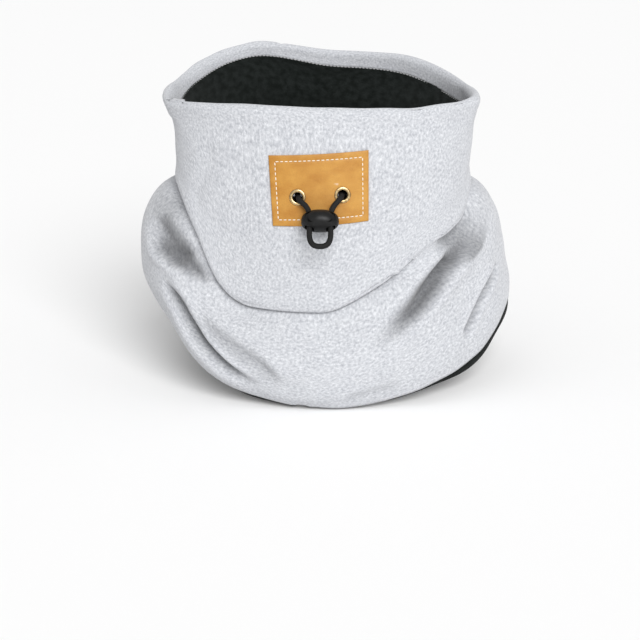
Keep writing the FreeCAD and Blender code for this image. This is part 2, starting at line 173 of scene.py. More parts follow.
def smooth_line(name, route):
    """Points of the NURBS curve that takes the route as its control points, in millimetres."""
    curve = bpy.data.curves.new(name, "CURVE")
    curve.dimensions = "3D"
    curve.resolution_u = 40
    spline = curve.splines.new("NURBS")
    spline.points.add(len(route) - 1)
    for point, place in zip(spline.points, route):
        point.co = (place[0] * mm, place[1] * mm, place[2] * mm, 1.0)
    spline.order_u = 3
    spline.use_endpoint_u = True
    holder = bpy.data.objects.new(name, curve)
    line = bpy.data.meshes.new_from_object(holder)
    places = np.zeros(len(line.vertices) * 3)
    line.vertices.foreach_get("co", places)
    bpy.data.objects.remove(holder)
    bpy.data.meshes.remove(line)
    return places.reshape(-1, 3) / mm


def evenly(line, step):
    """The same line with its points about step apart, by its length measured along it."""
    reach = np.concatenate([[0], np.cumsum(np.linalg.norm(np.diff(line, axis=0), axis=1))])
    at = np.linspace(0, reach[-1], int(reach[-1] / step) + 1)
    return np.stack([np.interp(at, reach, line[:, axis]) for axis in range(3)], axis=-1), at


loose_line, loose_at = evenly(smooth_line("loose_line", loose_route), cord_step)
loose_length = loose_at[-1]
print("loose cord:", round(loose_length, 1), "mm")

# %% Braided tube along a line
def braided_tube(line, at, radius, sides=36, strands=8, pitch=9.0, relief=0.07):
    """Rings round a line. Two sets of strands wind against each other, and the cover stands up where
    either passes: radius + relief * the larger of cos(strands*angle + turn) and cos(... - turn)."""
    ahead = unit(np.gradient(line, axis=0))
    side = unit(np.cross(ahead, out_of_lock))
    up = np.cross(side, ahead)
    angle = np.linspace(0, 2 * np.pi, sides, endpoint=False)[None, :]
    turn = (at * 2 * np.pi * strands / pitch / 2)[:, None]
    weave = np.maximum(np.cos(strands * angle + turn), np.cos(strands * angle - turn))
    reach = (radius + relief * weave)[..., None]
    spoke = np.cos(angle)[..., None] * up[:, None] + np.sin(angle)[..., None] * side[:, None]
    return line[:, None, :] + reach * spoke


braid_inset = 0.05    # the strands stand up from here to the cord's full diameter
cord_rings = braided_tube(loose_line, loose_at, cord_diameter / 2 - braid_inset)
loose_cord = grid_object("loose_drawcord", cord_rings[:, ::-1], wrap=True, caps=True, body="cord_loop")
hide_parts("drawcord_front")
print("cord rings:", cord_rings.shape)

# %% [markdown]
# ## The form of the fleece
# On a neck the tube slouches: an upright upper part, a crease where it folds under itself, and a roll
# that swells out over the shoulders and ends in the hem. Cloth simulation would find some slouch, but
# not this one, so the form is drawn as closed rings with a smooth surface through them.

# %% Heights round the tube
# Degrees run from the front, 0, to the wearer's left, 90. Heights are in millimetres.
rim_height = [(0, 148.3), (28, 147.2), (55, 149.5), (90, 152.5), (117, 158), (137, 169), (150, 172.5),
              (180, 173), (193, 178.5), (198, 182), (212, 180), (228, 173), (243, 164), (270, 152.5),
              (315, 149.8)]
crease_height = [(0, 3), (19, 17), (27, 25), (36, 36), (42, 43), (48, 47.5), (55, 52), (62, 57), (71, 64),
                 (80, 78), (90, 83), (135, 88), (180, 86), (225, 88), (270, 87), (288, 80), (303, 56),
                 (317, 20), (334, 4)]
hem_height = [(0, -69), (18, -65.5), (29, -59), (36, -54), (47, -47), (58, -36), (68, -23), (80, -11),
              (92, -3), (135, 0), (180, -6), (225, -4), (268, -5), (285, -15), (300, -26), (315, -44),
              (328, -56), (342, -65)]
# How much of the crease is folded under, and how far its inner edge goes up behind the outer one.
tuck_share = [(0, 1), (16, 1), (26, 0.8), (34, 0.5), (44, 0.35), (54, 0.9), (62, 1), (80, 1), (92, 0.9),
              (135, 0.55), (180, 0.5), (225, 0.55), (268, 0.9), (300, 1), (330, 1)]
undercut = [(0, 6), (18, 5), (34, 1), (46, -2), (58, 3), (72, 4), (88, -3), (180, -5), (270, -5),
            (300, 3), (330, 6)]
# How far the roll sinks just below the crease, so that a valley can start under the upper part's edge.
pocket = [(44, 0), (52, 4), (60, 10), (67, 9), (76, 1), (82, 0), (180, 0), (270, 0), (278, 1), (290, 5),
          (300, 1), (310, 0)]
facing_width = [(0, 14), (135, 14.5), (180, 12.5), (225, 10), (270, 13)]


def cubic(t, start, end, leaving, arriving):
    """Curve from start, at t = 0, to end, at t = 1, that has the slopes leaving and arriving there."""
    first = start * (2 * t**3 - 3 * t**2 + 1) + leaving * (t**3 - 2 * t**2 + t)
    last = end * (3 * t**2 - 2 * t**3) + arriving * (t**3 - t**2)
    return first + last


def around(table, degrees):
    """Smooth closed curve through (degrees, value) pairs: between two pairs it is a cubic, whose slope
    at each pair is the mean of its neighbours' slopes, and level where the values turn back."""
    at, value = np.array(sorted(table), float).T
    at = np.concatenate([at - 360, at, at + 360])
    value = np.tile(value, 3)
    gap = np.diff(at)
    slope = np.diff(value) / gap
    mean = (slope[:-1] * gap[1:] + slope[1:] * gap[:-1]) / (gap[1:] + gap[:-1])
    most = 3 * np.minimum(abs(slope[:-1]), abs(slope[1:]))
    steady = slope[:-1] * slope[1:] > 0
    inner = np.where(steady, np.sign(mean) * np.minimum(abs(mean), most), 0)
    tangent = np.concatenate([[0], inner, [0]])
    degrees = np.mod(degrees, 360)
    i = np.clip(np.searchsorted(at, degrees, side="right") - 1, 0, len(at) - 2)
    step = gap[i]
    return cubic((degrees - at[i]) / step, value[i], value[i + 1], tangent[i] * step, tangent[i + 1] * step)


# %% One ring
def ring(degrees, right, left, middle, front, back, height, front_bend=1.0, back_bend=1.0):
    """Closed ring: X is half the width times the sine of the angle. Y is middle, less front times the
    cosine to the power front_bend where it faces the front, plus back likewise behind."""
    turn = np.radians(degrees)
    across, ahead = np.sin(turn), np.cos(turn)
    half = np.where(across > 0, left, right)
    y = middle - front * np.maximum(ahead, 0) ** front_bend + back * np.maximum(-ahead, 0) ** back_bend
    return np.stack([half * across, y, height + 0 * degrees], axis=-1)


def rings_of(degrees, rows):
    """One ring for each row of ring's values: right, left, middle, front, back, height and the bends."""
    return [ring(degrees, *row) for row in rows]


# %% [markdown]
# The rings from the hem to the rim are listed below, from the bottom up. Near the crease there are two
# versions: one that runs smoothly from the roll into the upper part, and one that folds under. They
# are mixed by tuck_share, so the crease is sharp at the front and the sides, and softer at the back and
# where it climbs on the wearer's left.

# %% Rings of the wall
def wall_rings(degrees):
    """Rings of the outer face from the hem to just below the rim, as an array (rings, columns, 3)."""
    rim, crease, hem = (around(t, degrees) for t in (rim_height, crease_height, hem_height))
    drop = crease - hem
    front_side = 1 - np.maximum(np.cos(np.radians(degrees)), 0)
    share = around(tuck_share, degrees)[:, None]
    up, dip = around(undercut, degrees), around(pocket, degrees)
    low = rings_of(degrees, [
        (131, 152.5, -5, 120, 90, hem),
        (136, 151.5, -6, 124, 93, hem + 0.1 * drop),
        (141.5, 147.5, -8, 124.5, 97, hem + 0.26 * drop),
        (143, 144.5, -8, 124.5, 98, hem + 0.45 * drop),
        (135, 136.5, -12, 110.5, 90, hem + 0.76 * drop - 0.4 * dip),
    ])
    tucked = rings_of(degrees, [
        (116, 119, -30, 84, 104, crease - 3.5 - dip),
        (106, 109, -38, 69, 111, crease + up - dip),
        (107, 110, -39, 70.5, 112, crease + up + 3 - 0.5 * dip),
        (110.5, 114, -40, 75.5, 115, crease - 0.5 + np.minimum(up + 4, 0)),
        (111, 114.5, -40, 76.5, 115.3, crease + 3.5),
    ])
    high = rings_of(degrees, [
        (109.8, 114, -40, 74.5, 115, crease + 13),
        (109.8, 115, -42, 68, 117, 0.25 * rim + 0.75 * crease + 6 * front_side, 1.05, 0.95),
        (112.5, 117, -43, 61, 118, 0.6 * rim + 0.4 * crease + 8 * front_side, 1.2, 0.85),
        (117, 119.8, -44.5, 52.5, 119.5, rim - 13, 1.3, 0.78),
        (119.5, 121, -45, 50, 120, rim - 2.6, 1.35, 0.75),
    ])
    easy = [low[-1] + (high[0] - low[-1]) * part for part in (0.3, 0.5, 0.62, 0.78, 0.88)]
    mixed = [smooth + (sharp - smooth) * share for smooth, sharp in zip(easy, tucked)]
    return np.stack(low + mixed + high)


def through(rings, counts):
    """Smooth surface through rings: along each column a cubic joins ring to ring, with the slope at a
    ring the weighted mean of the steps before and after it. counts says how many rows each span gets."""
    gap = np.linalg.norm(np.diff(rings, axis=0), axis=2).mean(axis=1)[:, None, None]
    slope = np.diff(rings, axis=0) / gap
    inner = (slope[:-1] * gap[1:] + slope[1:] * gap[:-1]) / (gap[:-1] + gap[1:])
    tangent = np.concatenate([slope[:1], inner, slope[-1:]])
    rows = []
    for i, count in enumerate(counts):
        t = (np.arange(count) / count)[:, None, None]
        rows.append(cubic(t, rings[i], rings[i + 1], tangent[i] * gap[i], tangent[i + 1] * gap[i]))
    return np.concatenate(rows + [rings[-1:]])


seam_place = 196.0
columns = 340
degrees = seam_place + np.linspace(0, 360, columns, endpoint=False)
wall_counts = [5, 8, 9, 13, 6, 4, 3, 4, 3, 5, 10, 14, 10, 5]
wall = through(wall_rings(degrees), wall_counts)
print("wall grid:", wall.shape)

# %% [markdown]
# ## Over the rim
# The fleece turns over the rim and comes down inside as a facing, so the rim is a soft double edge. The
# turn is a half circle of three rings, each moved inwards along the plan of the rim. A ring that is
# moved in past a tight bend would cross itself, so the rings there are softened first.

# %% Rings of the turned rim
def inwards(points, depth, blur=12):
    """A closed ring moved level towards the inside, square to its own plan. The directions are averaged
    over blur neighbours each way, so that the ring crosses itself less where it bends tightly."""
    along = np.roll(points, -1, axis=-2) - np.roll(points, 1, axis=-2)
    out = unit(np.stack([along[..., 1], -along[..., 0], 0 * along[..., 0]], axis=-1))
    out = sum(np.roll(out, shift, axis=-2) for shift in range(-blur, blur + 1))
    return points - unit(out) * depth


def soften(points, reach=12):
    """A closed ring averaged over a few neighbours each way, which rounds its sharp corners."""
    return sum(np.roll(points, shift, axis=-2) for shift in range(-reach, reach + 1)) / (2 * reach + 1)


rim_turn = 6.2
fleece_thick = 2.5


def rim_rings(degrees):
    """The top of the turn, its inner side, and the facing down to its lower edge."""
    rim, facing = around(rim_height, degrees), around(facing_width, degrees)
    edge = dict(middle=-45, front=50, back=120, front_bend=1.35, back_bend=0.75)
    inner = dict(middle=-44.5, front=52.5, back=119.5, front_bend=1.3, back_bend=0.78)
    drawn = [
        (ring(degrees, 119.5, 121, height=rim, **edge), rim_turn * 0.5),
        (ring(degrees, 119.5, 121, height=rim - 2.6, **edge), rim_turn),
        (ring(degrees, 118, 120.3, height=rim - facing * 0.6, **inner), rim_turn),
        (ring(degrees, 117, 119.8, height=rim - facing, **inner), rim_turn),
    ]
    return np.stack([inwards(soften(one), depth) for one, depth in drawn])


outer_rings = wall_rings(degrees)
outer_rings[-2:] = soften(outer_rings[-2:])
fleece = through(np.concatenate([outer_rings, rim_rings(degrees)]), wall_counts + [3, 4, 3, 4])
wall_rows = sum(wall_counts)
print("fleece grid:", fleece.shape, "of which", wall_rows, "rows are outside")

# %% [markdown]
# ## Folds
# A fold is a valley along a path, drawn on the wall as a few (degrees, height) points. Seen from the
# path, the cloth drops away gently on one side and steeply on the other, where one layer lies over
# the next. Pushing the surface along its own outward direction makes the valley.

# %% One fold
mm_per_degree = 2.3


def fold(points, degrees, path, depth, above, below, lip=0.0, swell=0.0, start=0.15, end=0.25):
    """How far each point of the grid moves out for one fold.

    The path is made smooth and each point finds its nearest place on it. With d the distance, the
    valley is -depth * exp(-(d / width)**2), with one width above the path and one below. Beside it the
    cloth rises by rise * exp(-((d - 1.6 * width) / width)**2), where rise is lip above the path and
    swell below it. All of it fades out over the first and last share of the path, start and end.
    """
    line = through(np.array(path, float)[:, None, :], [10] * (len(path) - 1))[:, 0]
    turned = np.mod(degrees[None, :, None] - line[:, 0] + 180, 360) - 180
    across, up = turned * mm_per_degree, points[:, :, 2:] - line[:, 1]
    apart = np.hypot(across, up)
    near = apart.argmin(axis=-1)[..., None]
    distance = np.take_along_axis(apart, near, -1)[..., 0]
    heading = np.gradient(line * [mm_per_degree, 1], axis=0)
    cross = heading[:, 0] * up - heading[:, 1] * across
    is_above = np.take_along_axis(cross, near, -1)[..., 0] * np.sign(heading[:, 0].sum()) > 0
    place = near[..., 0] / (len(line) - 1)
    strength = ease(place / start) * ease((1 - place) / end)
    width = np.where(is_above, above, below)
    raised = np.where(is_above, lip, swell) * np.exp(-(((distance - 1.6 * width) / width) ** 2))
    return strength * (raised - depth * np.exp(-((distance / width) ** 2)))


def ease(t):
    """0 below 0 and 1 above 1, with a smooth step between."""
    t = np.clip(t, 0, 1)
    return t * t * (3 - 2 * t)


# %% The folds of the roll
folds = [
    dict(path=[(287, 58), (300, 45), (309, 30)], depth=7.0, above=7, below=7, lip=1.5),
    dict(path=[(289, 41), (303, 32), (311, 25), (317, 18)], depth=10.0, above=9, below=3.5, swell=3.0,
         end=0.1),
    dict(path=[(302, 16), (310, 5), (316, -8), (321, -21), (327, -33), (333, -43), (343, -55)],
         depth=9.0, above=3.5, below=5.5, lip=3.0, swell=1.5),
    dict(path=[(316, -4), (330, -20), (341, -33), (349, -54)], depth=4.5, above=4, below=10, lip=2.0),
    dict(path=[(66, 52), (57, 42), (46, 29), (37, 15), (31, 4), (25, -6), (20, -15), (12, -27)],
         depth=17.0, above=6, below=5.5, lip=1.5, swell=4.0, start=0.05, end=0.6),
    dict(path=[(74, 20), (64, 8), (56, -6), (52, -15), (47, -27)], depth=9.0, above=3.6, below=3, lip=2.0,
         swell=1.5),
    dict(path=[(350, -60), (9, -59), (26, -51)], depth=2.0, above=6, below=3),
    dict(path=[(108, 62), (126, 40), (147, 24)], depth=5.0, above=8, below=10),
    dict(path=[(252, 64), (236, 42), (214, 28)], depth=6.0, above=8, below=9, lip=1.0),
    dict(path=[(160, 66), (184, 56), (207, 60)], depth=4.0, above=6, below=9),
    dict(path=[(262, 30), (250, 14), (236, 6)], depth=4.0, above=6, below=6),
]
tuck_row = sum(wall_counts[:5])      # the row of the crease's outer edge
on_roll = ease((tuck_row + 1 - np.arange(len(fleece))) / 4)[:, None]
push = sum(fold(fleece, degrees, **one) for one in folds) * on_roll
# Painted shade, 0 to 1, from how deep each point lies: all of it 11 mm down in a fold, or 14 mm down in the
# pocket.
deep_fold, deep_pocket, pocket_rows = 11, 14, slice(tuck_row - 5, tuck_row + 6)
painted_shade_share = np.clip(-push / deep_fold, 0, 1)
painted_shade_share[pocket_rows] += around(pocket, degrees) / deep_pocket
print("folds move the cloth from", round(push.min(), 1), "to", round(push.max(), 1), "mm")

# %% [markdown]
# Real cloth is never quite even. The upper part has a few slack hollows, long waves a millimetre high
# run over the whole tube, and the upright seam at the back draws the cloth in along a narrow groove.

# %% Soft waves and the back seam
def waves(points, seed, size, height, count=7):
    """Sum of plane sine waves in random directions, about size long and together about height high."""
    draw = np.random.default_rng(seed)
    total = 0
    for _ in range(count):
        direction = unit(draw.normal(size=3)) * 2 * np.pi / (size * draw.uniform(0.7, 1.6))
        total = total + np.sin(points @ direction + draw.uniform(0, 2 * np.pi))
    return total * height / np.sqrt(count)


slack = [
    dict(path=[(118, 134), (150, 128), (182, 136)], depth=2.6, above=12, below=8),
    dict(path=[(206, 140), (232, 128), (256, 130)], depth=2.6, above=9, below=12),
    dict(path=[(318, 120), (306, 88), (300, 72)], depth=1.6, above=10, below=10),
]
push = push + sum(fold(fleece, degrees, **one) for one in slack) * (1 - on_roll)
push = push + waves(fleece, 3, 70, 1.0) + waves(fleece, 8, 26, 0.25)
seam_wide, seam_deep = 2.0, 0.9
from_seam = (np.mod(degrees - seam_place + 180, 360) - 180) * mm_per_degree * 0.8
push = push - seam_deep * np.exp(-((from_seam / seam_wide) ** 2))[None, :]

# %% [markdown]
# ## Where the patch lies
# The CAD patch, eyelets and cord are fixed, so the fleece has to lie exactly behind the patch. Its back
# is close to a quadratic surface, with y a second-degree polynomial of x and z, found by least squares.

# %% The patch's own surface
def terms(x, z):
    """The six terms of a second-degree polynomial of x and z."""
    return np.stack([np.ones_like(x), x, z, x * x, x * z, z * z], axis=-1)


patch_points = np.array([v.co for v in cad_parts["leather_patch"].data.vertices]) / mm
patch_middle = (patch_points.min(axis=0) + patch_points.max(axis=0)) / 2
flat_x, flat_z = patch_points[:, 0], patch_points[:, 2] - patch_middle[2]
first = np.linalg.lstsq(terms(flat_x, flat_z), patch_points[:, 1], rcond=None)[0]
behind = patch_points[:, 1] > terms(flat_x, flat_z) @ first
back_terms, back_y = terms(flat_x[behind], flat_z[behind]), patch_points[behind, 1]
shape_of_back = np.linalg.lstsq(back_terms, back_y, rcond=None)[0]
worst = abs(back_terms @ shape_of_back - back_y).max()
print("patch back fitted to within", round(worst, 3), "mm")


def patch_back(x, z):
    """Y of the patch's back at X and Z."""
    return terms(x, z - patch_middle[2]) @ shape_of_back


def patch_out(x, z):
    """Outward direction there, from the slopes of the fitted surface."""
    step = 0.5
    slope_x = (patch_back(x + step, z) - patch_back(x - step, z)) / (2 * step)
    slope_z = (patch_back(x, z + step) - patch_back(x, z - step)) / (2 * step)
    return unit(np.stack([slope_x, -np.ones_like(x), slope_z], axis=-1))


# %% Patch coordinates
patch_tilt = np.radians(3.0)
patch_wide, patch_high = 72.0, 50.0


def patch_place(across, up, out=0.0):
    """Point at across and up from the patch's middle, along its own edges, and out from its back."""
    x = patch_middle[0] + across * np.cos(patch_tilt) - up * np.sin(patch_tilt)
    z = patch_middle[2] + across * np.sin(patch_tilt) + up * np.cos(patch_tilt)
    face = np.stack([x, patch_back(x, z), z], axis=-1)
    return face + patch_out(x, z) * np.asarray(out + 0 * across)[..., None]


def patch_coordinates(points):
    """Across and up from the patch's middle for points near the front."""
    x, z = points[..., 0] - patch_middle[0], points[..., 2] - patch_middle[2]
    return x * np.cos(patch_tilt) + z * np.sin(patch_tilt), z * np.cos(patch_tilt) - x * np.sin(patch_tilt)


# %% [markdown]
# Under the patch the fleece takes the patch's own surface, and over the next 24 mm it goes back to its
# own. Just outside the edge the pile stands up a little, so that the leather looks pressed in. The
# fleece is open under the eyelets, where the cord passes through.

# %% Fleece behind the patch
release, pile_lift, pile_reach, patch_gap = 24, 0.8, 9, 0.15
fleece = fleece + outward_of(fleece) * push[..., None]
across, up = patch_coordinates(fleece)
past_edge = np.hypot(np.maximum(abs(across) - patch_wide / 2, 0), np.maximum(abs(up) - patch_high / 2, 0))
on_front = (fleece[..., 1] < -60) & (np.arange(len(fleece)) < wall_rows)[:, None]
held = np.where(on_front, 1 - ease(past_edge / release), 0)
lift = np.where(on_front, pile_lift * ease(past_edge / 2) * np.exp(-((past_edge / pile_reach) ** 2)), 0)
target = patch_back(fleece[..., 0], fleece[..., 2]) + patch_gap
fleece[..., 1] += held * (target - fleece[..., 1]) - lift

eyelet_names = ("eyelet_left", "eyelet_right")
eyelet_middles = []
for name in eyelet_names:
    low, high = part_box(name)
    eyelet_middles.append(np.array((low + high) / 2) / mm)


def eyelet_cells(middles, reach):
    """Which cells on the front have their middle within reach of an eyelet's middle."""
    marked = np.zeros(middles.shape[:2], bool)
    for eyelet in eyelet_middles:
        apart = np.hypot(middles[..., 0] - eyelet[0], middles[..., 2] - eyelet[2])
        marked |= (apart < reach) & (middles[..., 1] < -90)
    return marked


fleece_holes = eyelet_cells((fleece[:-1] + np.roll(fleece, -1, axis=1)[1:]) / 2, 4.0)
print("cells open under the eyelets:", int(fleece_holes.sum()))

# %% The fleece piece
def thicken(piece, thickness):
    """Gives a sheet its thickness, inwards from the face that was drawn."""
    solid = piece.modifiers.new("thickness", "SOLIDIFY")
    solid.thickness = thickness * mm
    solid.offset = -1.0
    solid.use_quality_normals = True


outer_fleece = grid_object("outer_fleece", fleece, flat=(0.68, 0.30), holes=fleece_holes)
thicken(outer_fleece, fleece_thick)
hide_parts("outer_shell")
# Painted shade: this attribute tells the fleece material how much to darken each point in the folds.
painted_fold_shade = outer_fleece.data.attributes.new("painted_fold_shade", "FLOAT", "POINT")
painted_fold_shade.data.foreach_set("value", np.clip(painted_shade_share, 0, 1).ravel())
print("fleece faces:", len(outer_fleece.data.polygons))

# %% [markdown]
# ## The lining
# The dark fleece inside hangs from the facing's edge to just below the outer hem, where it shows as a
# dark line. It follows the unfolded wall a few millimetres further in, and stands off more behind the
# tuck and at the cord, which runs between the layers in its own tunnel.

# %% The lining piece
lining_inset = [3.0, 3.3, 4.0, 6.5, 11.0]
lining_flare = [(0, 0), (45, 0.8), (62, 2.2), (78, 3.8), (92, 4.2), (106, 0.5), (180, 0), (270, 0),
                (310, 0.5)]
lining_below = [(0, 1.5), (24, 2.8), (38, 6.5), (60, 8.0), (82, 7.5), (97, 2.0), (180, 1.5), (268, 0.8),
                (290, 1.2), (305, 2.2), (330, 2.4), (345, 1.6)]
lining_thick = 2.3


def lining_grid(degrees):
    """The wall's lower rings moved inwards, then rings of its own past the tuck and the cord, and the
    last one just under the facing. The lower edge hangs below the outer hem and flares a little."""
    rim, crease = around(rim_height, degrees), around(crease_height, degrees)
    front_side = 1 - np.maximum(np.cos(np.radians(degrees)), 0)
    low = [inwards(one, depth) for one, depth in zip(wall_rings(degrees), lining_inset)]
    low[0] = inwards(low[0], -around(lining_flare, degrees)[:, None])
    low[0][:, 2] -= around(lining_below, degrees)
    top = inwards(fleece[-1], -lining_thick)
    top[:, 2] -= 0.5
    upper = np.minimum(0.6 * rim + 0.4 * crease + 8 * front_side, top[:, 2] - 25)
    past_cord = rings_of(degrees, [
        (104, 106, -37, 66, 103, crease - 4),
        (100.5, 101, -39, 61, 106, crease + 6),
        (100.3, 100.8, -42, 54.5, 108, 0.25 * rim + 0.75 * crease + 6 * front_side, 1.05, 0.95),
        (101.5, 103, -43, 51.3, 108.5, upper, 1.1, 0.9),
        (112, 115.5, -43.5, 55, 118.5, top[:, 2] - 6, 1.25, 0.82),
    ])
    past_cord[-1] = inwards(past_cord[-1], 5.0)
    return through(np.stack(low + past_cord + [top]), [5, 6, 7, 9, 7, 6, 9, 12, 10, 4])


lining = lining_grid(degrees)
lower_rows, fold_scale = 36, 1.35    # the lining goes deeper into the folds than the fleece does
on_lower = ease((lower_rows - np.arange(len(lining))) / 5)[:, None]
inner_push = sum(fold(lining, degrees, **one) for one in folds) * on_lower
inner_push = np.minimum(inner_push * fold_scale, 0) + (waves(lining, 5, 60, 0.7) - 0.7) * on_lower
inner_push = inner_push + sum(fold(lining, degrees, **one) for one in slack) * (1 - on_lower)
lining = lining + outward_of(lining) * inner_push[..., None]
lining_piece = grid_object("inner_lining", lining, flat=(0.66, 0.27))
thicken(lining_piece, lining_thick)
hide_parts("lining")
print("lining grid:", lining.shape)

# %% [markdown]
# ## Stitches
# A seam is a row of short thread stitches, each a small spindle whose ends dive into the cloth. The
# stitches of one seam are one mesh: the same few rings, placed and turned at every stitch's middle.

# %% A row of stitches
def stitches(name, middles, along, out, length, radius, body="gaiter"):
    """Mesh of spindles. A spindle's radius at s, from -1 to 1, is radius * sqrt(1 - s**4), and its
    middle line sinks by radius * s**2, so its ends go in."""
    s = np.array([-1.0, -0.82, -0.45, 0.0, 0.45, 0.82, 1.0])
    turn = np.linspace(0, 2 * np.pi, 6, endpoint=False)
    girth = radius * np.sqrt(np.maximum(1 - s**4, 0.02))
    side = np.cross(along, out)
    line = middles[:, None, None] + along[:, None, None] * (s * length / 2)[:, None, None]
    line = line - out[:, None, None] * (radius * s**2)[:, None, None]
    points = line + out[:, None, None] * (girth[:, None] * np.cos(turn))[..., None]
    points = points + side[:, None, None] * (girth[:, None] * np.sin(turn))[..., None]
    rings, sides = len(s), len(turn)
    row, column = np.mgrid[0:rings - 1, 0:sides]
    after = (column + 1) % sides
    cell = np.stack([row * sides + column, row * sides + after,
                     (row + 1) * sides + after, (row + 1) * sides + column], axis=-1)
    first = np.arange(len(middles)) * rings * sides
    faces = (first[:, None, None] + cell.reshape(-1, 4)).reshape(-1, 4).tolist()
    ends = (first[:, None] + np.arange(sides)).tolist()
    faces += ends + [[corner + (rings - 1) * sides for corner in end[::-1]] for end in ends]
    mesh = bpy.data.meshes.new(name)
    mesh.from_pydata((points.reshape(-1, 3) * mm).tolist(), [], faces)
    mesh.polygons.foreach_set("use_smooth", np.ones(len(faces), bool))
    mesh.update()
    return placed(name, mesh, body)


def along_line(line, closed, pitch):
    """Middles and directions of stitches set pitch apart along a line of points."""
    if closed:
        line = np.concatenate([line, line[:1]])
    places, _ = evenly(line, pitch)
    return (places[1:] + places[:-1]) / 2, unit(np.diff(places, axis=0))


# %% Seams of the tube
thread_inset = fleece_thick + 0.25    # behind the fleece, where the hem's and the back's threads lie
upright = [0, 0, 1.0]


def seam(name, line, pitch, length, radius, out_of=None, closed=True):
    """Stitches along a line. They face out_of(heading), or the front where that isn't given."""
    middles, ahead = along_line(line, closed, pitch)
    out = np.tile([[0, -1.0, 0]], (len(middles), 1)) if out_of is None else out_of(ahead)
    return stitches(name, middles, ahead, out, length, radius)


seam_line = inwards(fleece[-1], 0.1)
seam_line[:, 2] -= 0.2
facing_seam = seam("facing_seam_stitches", seam_line, 3.0, 2.3, 0.35,
                   lambda ahead: -unit(np.cross(ahead, upright)))
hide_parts("facing_seam_thread")

hem_line = inwards(through(wall_rings(degrees), wall_counts)[4], thread_inset)
hem_seam = seam("hem_seam_stitches", hem_line, 3.4, 2.6, 0.2, lambda ahead: unit(np.cross(ahead, upright)))
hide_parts("hem_seam_thread")

back_line = fleece[4:wall_rows, 0] - outward_of(fleece)[4:wall_rows, 0] * thread_inset
back_seam = seam("back_seam_stitches", back_line, 3.4, 2.6, 0.2, closed=False)
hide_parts("back_seam_thread")
print("stitches made for three seams")

# %% [markdown]
# ## The leather patch
# The patch is a height field over its own rectangle: the leather is 1.5 mm thick, sinks a little along
# the stitch row, is pressed down round the eyelets and rounds off at its edges. It is cut a little
# narrower at its lower end, and its edges bow by half a millimetre, as hand-cut leather does.

# %% The patch piece
leather_thick = 1.5
stitch_inset = 4.5
fine = 0.6


def bowed(across, up):
    """Moves the rectangle's points: narrower below by a few percent, its lower edge bowed down."""
    share_x, share_y = across / (patch_wide / 2), up / (patch_high / 2)
    wide = across * (1 - 0.018 * (1 - share_y)) + 0.5 * share_y * np.abs(share_x)
    sag = 1.1 * np.minimum(share_y, 0) ** 2 * (1 - share_x**2)
    return wide, up - sag + 0.5 * share_x**2 * np.maximum(share_y, 0)


def leather_height(across, up):
    """Height of the face over the back: sinks along the stitch row and round each eyelet."""
    edge = np.minimum(patch_wide / 2 - abs(across), patch_high / 2 - abs(up))
    height = leather_thick - 0.28 * np.exp(-(((edge - stitch_inset) / 0.8) ** 2))
    height = height - 0.45 * np.exp(-np.maximum(edge, 0) / 0.55)
    for middle in eyelet_middles:
        eye_across, eye_up = patch_coordinates(middle)
        apart = np.hypot(across - eye_across, up - eye_up)
        height = height - 0.12 * np.exp(-((np.maximum(apart - 5.0, 0) / 1.6) ** 2))
    return height


across, up = np.meshgrid(np.linspace(-patch_wide / 2, patch_wide / 2, int(patch_wide / fine)),
                         np.linspace(-patch_high / 2, patch_high / 2, int(patch_high / fine)))
leather = patch_place(*bowed(across, up), leather_height(across, up))
leather_holes = eyelet_cells((leather[:-1, :-1] + leather[1:, 1:]) / 2, 4.1)
patch_piece = grid_object("tan_leather_patch", leather, flat=(0.072, 0.050), wrap=False,
                          holes=leather_holes)
thicken(patch_piece, leather_thick - 0.3)
edge_round = patch_piece.modifiers.new("edges", "BEVEL")
edge_round.width = 0.25 * mm
edge_round.segments = 2
edge_round.limit_method = "ANGLE"
edge_round.angle_limit = np.radians(55)
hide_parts("leather_patch")
print("patch cells:", leather.shape)

# %% The cream stitch row
def rectangle_row(pitch):
    """Middles and directions of the stitches along the four sides of the row, in patch coordinates."""
    half_wide, half_high = patch_wide / 2 - stitch_inset, patch_high / 2 - stitch_inset
    corners = np.array([(-1, -1), (1, -1), (1, 1), (-1, 1)]) * [half_wide, half_high]
    sides = []
    for start, end in zip(corners, np.roll(corners, -1, axis=0)):
        side = end - start
        count = int(np.linalg.norm(side) / pitch)
        share = ((np.arange(count) + 0.5) / count)[:, None]
        sides.append(np.concatenate([start + side * share, np.tile(side, (count, 1))], axis=1))
    row = np.concatenate(sides)
    return row[:, :2], unit(row[:, 2:])


places, heading = rectangle_row(3.3)
thread_rise = 0.22
sink = leather_thick - thread_rise
start = patch_place(*bowed(*(places - heading).T), sink)
end = patch_place(*bowed(*(places + heading).T), sink)
middles = (start + end) / 2
row_out = patch_out(middles[:, 0], middles[:, 2])
row_along = unit(end - start)
patch_row = stitches("cream_patch_stitches", middles + row_out * thread_rise, row_along, row_out, 2.5, 0.42)
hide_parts("patch_stitching")
print("stitches round the patch:", len(middles))

# %% [markdown]
# ## Eyelets
# A pressed eyelet is one ring of sheet brass: a domed flange in front that rolls into a barrel through
# the leather and the fleece. It is a profile turned round its axis, so it is a grid again.

# %% Turned brass
def turned(name, profile, centre, axis, sides=64, body="gaiter"):
    """A closed profile of (radius, height) points turned round an axis."""
    side = unit(np.cross(axis, [0, 0, 1.0]))
    up = np.cross(side, axis)
    turn = np.linspace(0, 2 * np.pi, sides, endpoint=False)
    spoke = np.cos(turn)[:, None] * side + np.sin(turn)[:, None] * up
    points = centre + profile[:, :1, None] * spoke[None] + profile[:, 1:, None] * axis
    return grid_object(name, points, ring_rows=True, body=body)


